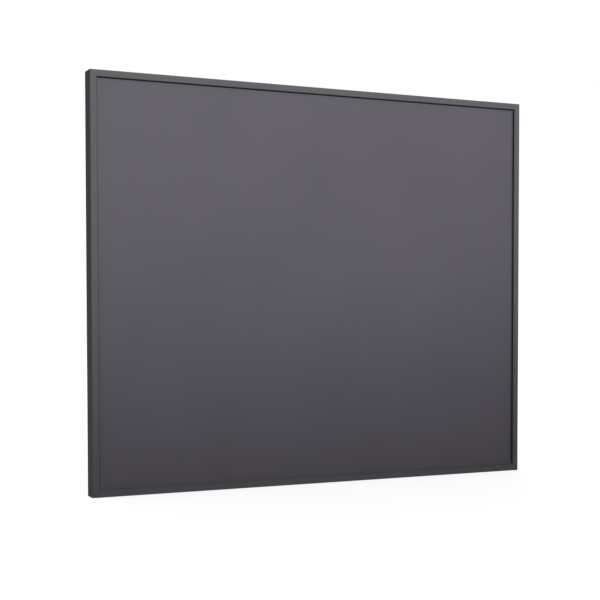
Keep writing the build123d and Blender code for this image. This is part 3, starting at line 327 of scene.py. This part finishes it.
def circuit_board(name, mask_colour, track_colour, shield_from=None):
    """Solder mask over bundles of copper tracks, with tinned pads, and a metal shield past shield_from."""
    look = Look(name, specular=0.5, coat=0.2)
    look.soft_edges(0.0002)
    areas = look.add("TexVoronoi", {"distance": "CHEBYCHEV"}, Vector=look.place, Scale=75.0, Randomness=0.6)
    areas = look.add("SeparateColor", Color=areas.outputs["Color"])
    runs = [look.add("TexWave", {"bands_direction": axis}, Vector=look.place, Scale=240.0).outputs["Fac"]
            for axis in ("X", "Z")]
    tracks = look.add("Mix", Factor=look.span(areas.outputs["Red"], 0, 1, 0.49, 0.51), A=runs[0], B=runs[1])
    tracks = look.span(tracks.outputs["Result"], 0, 1, 0.45, 0.6)
    poured = look.span(areas.outputs["Green"], 0, 1, 0.62, 0.63)
    tracks = look.sums("MAXIMUM", tracks, poured)
    tone = look.blend(tracks, mask_colour, track_colour)
    dots = look.cells(310, randomness=0.35)
    pads = look.span(dots, 1, 0, 0.2, 0.23)
    pick = look.span(look.noise(55, 2), 0, 1, 0.55, 0.57)
    pads = look.sums("MULTIPLY", pads, pick)
    tone = look.blend(pads, tone, (0.62, 0.60, 0.52))
    tone = look.blend(look.span(look.noise(400, 3), 0, 0.2), tone, shade(mask_colour, 1.8))
    gloss = look.span(look.noise(250, 3), 0.28, 0.42)
    if shield_from is not None:
        depth = look.add("SeparateXYZ", Vector=look.place).outputs["Y"]
        shield = look.span(depth, 0, 1, shield_from, shield_from + 0.00005)
        brushed = look.span(look.noise(1500, 4, 0.65, look.stretched(1, 1, 0.1)), 0, 1)
        tone = look.blend(shield, tone, look.blend(brushed, (0.42, 0.42, 0.41), (0.60, 0.60, 0.58)))
        look.feed(look.surface.inputs["Metallic"], shield)
        bare = look.sums("SUBTRACT", 1.0, shield)
        tracks = look.sums("MULTIPLY", tracks, bare)
        pads = look.sums("MULTIPLY", pads, bare)
    look.relief(tracks, 0.00004)
    look.relief(pads, 0.00006)
    return look.finish(tone, gloss)


def clear_plastic(name, colour):
    """Polished clear plastic with fine haze."""
    look = Look(name, specular=0.5, transmission=0.85)
    haze = look.noise(700, 4)
    tone = look.blend(look.span(haze, 0, 0.6), colour, shade(colour, 0.8))
    look.relief(look.noise(350, 2), 0.00001)
    return look.finish(tone, look.span(haze, 0.06, 0.18))


frame_colour = linear(94, 94, 98)
sheet_colour = linear(92, 89, 97)
black_plastic = linear(34, 34, 36)
looks = {
    "frame_finish": powder_coat("frame powder coat", frame_colour, 0.46, 0.004, 0.00008, 0.30, 1.0),
    "radiant_finish": powder_coat("radiant sheet coat", sheet_colour, 0.52, 0.06, 0.00006, 0.12, 0.8),
    "zinc_sheet": galvanised("galvanised sheet", (0.47, 0.485, 0.50)),
    "zinc_fastener": bright_metal("bright zinc", (0.56, 0.57, 0.57), 0.26, (1, 1, 1), (0.60, 0.58, 0.49)),
    "key_metal": bright_metal("die cast aluminium", (0.58, 0.59, 0.60), 0.46),
    "board_laminate": woven_board("heating board laminate", (0.045, 0.085, 0.045), (0.018, 0.018, 0.02)),
    "copper": bright_metal("tinned copper", (0.66, 0.42, 0.26), 0.34, (1, 1, 0.05), (0.72, 0.60, 0.46)),
    "foil": crinkled_foil("reflector foil", (0.82, 0.83, 0.84)),
    "mineral_mat": mineral_wool("mineral wool", (0.46, 0.41, 0.27)),
    "cutout_steel": bright_metal("cut-out case steel", (0.46, 0.46, 0.47), 0.36, (1, 1, 0.1)),
    "wire_brown": insulation_sleeve("brown silicone", (0.09, 0.033, 0.014)),
    "wire_blue": insulation_sleeve("blue silicone", (0.02, 0.07, 0.33)),
    "wire_green": insulation_sleeve("green and yellow silicone", (0.04, 0.24, 0.05), (0.62, 0.52, 0.03)),
    "housing_plastic": moulded("control box plastic", black_plastic, 0.5, 1100, 0.00012, mottle=1.7),
    "switch_plastic": moulded("switch housing plastic", linear(26, 26, 28), 0.32, 900, 0.00001, 0.5, 0.05),
    "paddle_plastic": moulded("rocker plastic", linear(28, 28, 30), 0.26, 700, 0.000008, 0.5, 0.04, 0.2),
    "button_plastic": moulded("button plastic", linear(176, 178, 182), 0.42, 1500, 0.00001, 0.45, 0.03,
                              mottle=1.06),
    "circuit_board": circuit_board("solder mask", (0.006, 0.07, 0.022), (0.012, 0.13, 0.045)),
    "component_black": moulded("component plastic", linear(30, 30, 32), 0.5, 1800, 0.00003),
    "relay_blue": moulded("relay plastic", linear(32, 72, 142), 0.34, 1800, 0.00001, 0.5, 0.04),
    "terminal_green": moulded("terminal plastic", linear(52, 122, 70), 0.46, 2000, 0.00002, 0.45, 0.05),
    "clear_plastic": clear_plastic("clear plastic", (0.86, 0.9, 0.92)),
    "soft_rubber": moulded("moulded rubber", linear(24, 24, 24), 0.72, 1200, 0.00003, 0.3, 0.16),
    "gland_plastic": moulded("gland polyamide", linear(44, 44, 46), 0.42, 1500, 0.00002),
}
radio_board = 0.00085
radio_look = circuit_board("radio module", (0.006, 0.02, 0.07), (0.012, 0.04, 0.13),
                           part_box("radio_module")[0].y + radio_board)
hanger_look = bright_metal("plated bracket", (0.50, 0.515, 0.53), 0.36, (1, 1, 0.12), (0.47, 0.475, 0.45))
marking_look = moulded("white marking paint", linear(214, 214, 210), 0.5, 2600, 0.000006, 0.4, 0.03,
                       mottle=1.04)
stem_look = bright_metal("steel mandrel", (0.36, 0.36, 0.37), 0.42)

slot_of = {part["node"]: part["material_slot"] for part in frame["record"]["subparts"]}
body_of = {node: body for body, group in frame["record"]["behaviour"]["bodies"].items() for node in group}
hanger_corners = ("top_left", "top_right", "bottom_left", "bottom_right")
own_looks = {"wall_hanger_" + corner: hanger_look for corner in hanger_corners}
own_looks["radio_module"] = radio_look
look_of = {node_name: own_looks.get(node_name, looks[slot]) for node_name, slot in slot_of.items()}
for node_name, node in nodes.items():
    node.data.materials.clear()
    node.data.materials.append(look_of[node_name])


# ---- Pieces ----
def new_piece(name, bm, material, body):
    """Makes an object of a mesh under construction and lets it ride on a body."""
    mesh = bpy.data.meshes.new(name)
    for face in bm.faces:
        face.smooth = True
    for edge in bm.edges:
        if len(edge.link_faces) == 2 and edge.calc_face_angle(0) > smooth_angle:
            edge.smooth = False
    bm.to_mesh(mesh)
    bm.free()
    if "custom_normal" in mesh.attributes:
        mesh.attributes.remove(mesh.attributes["custom_normal"])
    mesh.materials.append(material)
    piece = bpy.data.objects.new(name, mesh)
    bpy.context.scene.collection.objects.link(piece)
    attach(piece, body)
    return piece


def soft_edged(node_name, width):
    """The same piece with joined flat faces and softly rounded edges, in the place of its plain node."""
    bm = bmesh.new()
    bm.from_mesh(nodes[node_name].data)
    bmesh.ops.remove_doubles(bm, verts=bm.verts, dist=same_point)
    bmesh.ops.dissolve_limit(bm, angle_limit=flat_angle, verts=bm.verts, edges=bm.edges)
    sharp = [edge for edge in bm.edges
             if len(edge.link_faces) == 2 and edge.calc_face_angle(0) > bevel_angle]
    bmesh.ops.bevel(bm, geom=sharp, offset=width, offset_type="OFFSET", segments=2, profile=0.5,
                    affect="EDGES", clamp_overlap=True, loop_slide=True)
    piece = new_piece(node_name + "_dressed", bm, look_of[node_name], body_of[node_name])
    level = piece.modifiers.new("flat faces stay flat", "WEIGHTED_NORMAL")
    level.keep_sharp = True
    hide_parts(node_name)


edge_widths = {"frame_rail_" + side: 0.00018 for side in ("top", "right", "bottom", "left")}
edge_widths.update({
    "control_box_base": 0.0003,
    "control_box_cover": 0.0003,
    "rocker_housing": 0.00025,
    "rocker_paddle": 0.0003,
    "pairing_button": 0.0002,
    "gland_cap_nut": 0.0002,
    "gland_body": 0.0002,
})
edge_widths.update({"wall_hanger_" + corner: 0.00022 for corner in hanger_corners})
for node_name, edge_width in edge_widths.items():
    soft_edged(node_name, edge_width)


def lathe(bm, profile, centre, axis):
    """Turns a profile of (radius, height) points round an axis that starts at centre."""
    steps = 24
    axis = Vector(axis).normalized()
    side = axis.orthogonal().normalized()
    other = axis.cross(side)
    angles = [2 * pi * step / steps for step in range(steps)]
    rings = []
    for radius, height in profile:
        if radius == 0:
            rings.append([bm.verts.new(centre + axis * height)])
            continue
        rings.append([
            bm.verts.new(centre + axis * height + (side * cos(angle) + other * sin(angle)) * radius)
            for angle in angles
        ])
    for low, high in zip(rings, rings[1:]):
        for step in range(steps):
            following = (step + 1) % steps
            if len(low) == 1:
                bm.faces.new((low[0], high[following], high[step]))
            elif len(high) == 1:
                bm.faces.new((low[step], low[following], high[0]))
            else:
                bm.faces.new((low[step], low[following], high[following], high[step]))


def rivet_stems():
    """The broken mandrel that shows in the middle of each blind rivet."""
    bm = bmesh.new()
    rivet_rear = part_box("hanger_rivets")[1].y
    stem = ((0, -0.00005), (0.00085, -0.00005), (0.00085, 0.00022), (0.0007, 0.00032), (0.00035, 0.00022),
            (0, 0.0002))
    for corner in hanger_corners:
        hanger_low, hanger_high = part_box("wall_hanger_" + corner)
        middle = (hanger_low + hanger_high) / 2
        for dx in (-rivet_dx, rivet_dx):
            for dz in (-rivet_dz, rivet_dz):
                lathe(bm, stem, Vector((middle.x + dx, rivet_rear, middle.z + dz)), (0, 1, 0))
    bmesh.ops.recalc_face_normals(bm, faces=bm.faces)
    new_piece("rivet_stems", bm, stem_look, "panel")


def prism(bm, outline, low, high):
    """Raises an outline of (u, v) points, given as one or two loops, from height low to high."""
    loops = [[[bm.verts.new((u, v, height)) for u, v in points] for height in (low, high)]
             for points in outline]
    count = len(loops[0][0])
    for bottom, top in loops:
        for step in range(count):
            following = (step + 1) % count
            bm.faces.new((bottom[step], bottom[following], top[following], top[step]))
    if len(loops) == 1:
        bm.faces.new(loops[0][1])
        bm.faces.new(loops[0][0][::-1])
        return
    for level in (0, 1):
        outer, inner = loops[0][level], loops[1][level]
        for step in range(count):
            following = (step + 1) % count
            bm.faces.new((outer[step], outer[following], inner[following], inner[step]))


def rocker_marks():
    """The usual raised bar and ring on the two faces of the rocker."""
    low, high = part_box("rocker_paddle")
    middle_x = (low.x + high.x) / 2
    bar_u, bar_v = 0.00035, 0.0017
    bar = [[(-bar_u, -bar_v), (bar_u, -bar_v), (bar_u, bar_v), (-bar_u, bar_v)]]
    steps, ring_radii = 40, (0.0018, 0.00125)
    angles = [2 * pi * step / steps for step in range(steps)]
    ring = [[(radius * cos(angle), radius * sin(angle)) for angle in angles] for radius in ring_radii]
    sunk, raised = -0.0001, 0.00014
    facing_down, off_middle = -0.8, 0.001
    for name, side, outline in (("rocker_mark_on", -1, bar), ("rocker_mark_off", 1, ring)):
        faces = [face for face in nodes["rocker_paddle"].data.polygons
                 if face.normal.z < facing_down and (face.center.x - middle_x) * side > off_middle]
        area = sum(face.area for face in faces)
        normal = sum((face.normal * face.area for face in faces), Vector()).normalized()
        centre = sum((face.center * face.area for face in faces), Vector()) / area
        along = Vector((0, 1, 0)).cross(normal).normalized()
        turn = Matrix((along, normal.cross(along), normal)).transposed().to_4x4()
        bm = bmesh.new()
        prism(bm, outline, sunk, raised)
        bmesh.ops.recalc_face_normals(bm, faces=bm.faces)
        bm.transform(Matrix.Translation(centre) @ turn)
        new_piece(name, bm, marking_look, "rocker")


def aim(lamp, place, target):
    """Puts a lamp in its place and turns it to its target."""
    bpy.context.scene.collection.objects.link(lamp)
    lamp.location = place
    lamp.rotation_mode = "QUATERNION"
    lamp.rotation_quaternion = (Vector(target) - Vector(place)).to_track_quat("-Z", "Y")


def scene_lights():
    """Soft studio lamp in front, whose lower edge fades out over the panel, and a weak one behind."""
    key = bpy.data.lights.new("key", "SPOT")
    key.shadow_soft_size = 0.2
    key.spot_size = radians(90.6)
    key.spot_blend = 0.39
    key.energy = 221.0
    key_place, key_target = (0.08, -2.4, 1.05), (-0.067, 0.0, 1.6)
    aim(bpy.data.objects.new("key", key), key_place, key_target)
    fill = bpy.data.lights.new("back fill", "AREA")
    fill.shape = "RECTANGLE"
    fill.size, fill.size_y = 1.6, 1.2
    fill.energy = 16.0
    fill_place, fill_target = (0.7, 1.6, 1.5), (0.0, 0.0, 0.0)
    aim(bpy.data.objects.new("back fill", fill), fill_place, fill_target)


rivet_stems()
rocker_marks()
scene_lights()


# ---- World, floor and camera ----
def seen_ray(tree):
    """1 for rays from the camera and for reflected and refracted ones."""
    path = tree.nodes.new("ShaderNodeLightPath")
    total = path.outputs["Is Camera Ray"]
    for name in ("Is Glossy Ray", "Is Transmission Ray"):
        adder = tree.nodes.new("ShaderNodeMath")
        adder.operation = "MAXIMUM"
        tree.links.new(total, adder.inputs[0])
        tree.links.new(path.outputs[name], adder.inputs[1])
        total = adder.outputs[0]
    return total


def make_world():
    """Even soft light, white where it is seen."""
    world = bpy.data.worlds.new("studio")
    bpy.context.scene.world = world
    world.use_nodes = True
    tree = world.node_tree
    background = tree.nodes["Background"]
    background.inputs["Color"].default_value = (1, 1, 1, 1)
    strength = tree.nodes.new("ShaderNodeMapRange")
    strength.inputs["To Min"].default_value = 0.352
    strength.inputs["To Max"].default_value = 1.0
    tree.links.new(seen_ray(tree), strength.inputs["Value"])
    tree.links.new(strength.outputs["Result"], background.inputs["Strength"])


def make_floor():
    """Pale floor, white where it is seen, that takes the object's real faint shadow and a painted shadow
    near it.
    """
    bm = bmesh.new()
    bmesh.ops.create_grid(bm, x_segments=2, y_segments=2, size=floor_reach)
    mesh = bpy.data.meshes.new("floor")
    bm.to_mesh(mesh)
    bm.free()
    floor = bpy.data.objects.new("floor", mesh)
    bpy.context.scene.collection.objects.link(floor)
    floor.location.z = panel_low.z - floor_gap
    material = bpy.data.materials.new("white floor")
    material.use_nodes = True
    tree = material.node_tree
    surface = tree.nodes["Principled BSDF"]
    surface.inputs["Roughness"].default_value = 0.9
    surface.inputs["Specular IOR Level"].default_value = 0.0
    surface.inputs["Base Color"].default_value = (0.45, 0.45, 0.45, 1)
    surface.inputs["Emission Color"].default_value = (1, 1, 1, 1)
    # Painted shadow: the floor's glow is dimmed where ambient occlusion finds the object nearby.
    painted_shadow = tree.nodes.new("ShaderNodeAmbientOcclusion")
    painted_shadow.samples = 8
    painted_shadow.inputs["Distance"].default_value = 0.35
    level = tree.nodes.new("ShaderNodeMapRange")
    for name, number in (("From Min", 0.5), ("From Max", 1.0), ("To Min", 0.791), ("To Max", 0.849)):
        level.inputs[name].default_value = number
    tree.links.new(painted_shadow.outputs["AO"], level.inputs["Value"])
    strength = tree.nodes.new("ShaderNodeMath")
    strength.operation = "MULTIPLY"
    tree.links.new(seen_ray(tree), strength.inputs[0])
    tree.links.new(level.outputs["Result"], strength.inputs[1])
    tree.links.new(strength.outputs[0], surface.inputs["Emission Strength"])
    mesh.materials.append(material)


def make_camera():
    """Camera at the photograph's place, to the left of the panel and nearly level with its middle."""
    right = Vector((0.90522, -0.42495, -0.00105))
    up = Vector((0.01615, 0.03195, 0.99936))
    back = Vector((-0.42464, -0.90465, 0.03579))
    place = Vector((-0.70629, -1.48183, -0.02917))
    data = bpy.data.cameras.new("camera")
    data.sensor_width = 36.0
    data.lens = 75.0
    data.shift_y = 0.0902
    data.clip_start, data.clip_end = 0.01, 100.0
    camera = bpy.data.objects.new("camera", data)
    bpy.context.scene.collection.objects.link(camera)
    turn = Matrix((right, up, back)).transposed().to_4x4()
    camera.matrix_world = Matrix.Translation(place) @ turn
    bpy.context.scene.camera = camera


make_world()
make_floor()
make_camera()
bpy.context.scene.view_settings.view_transform = "Standard"
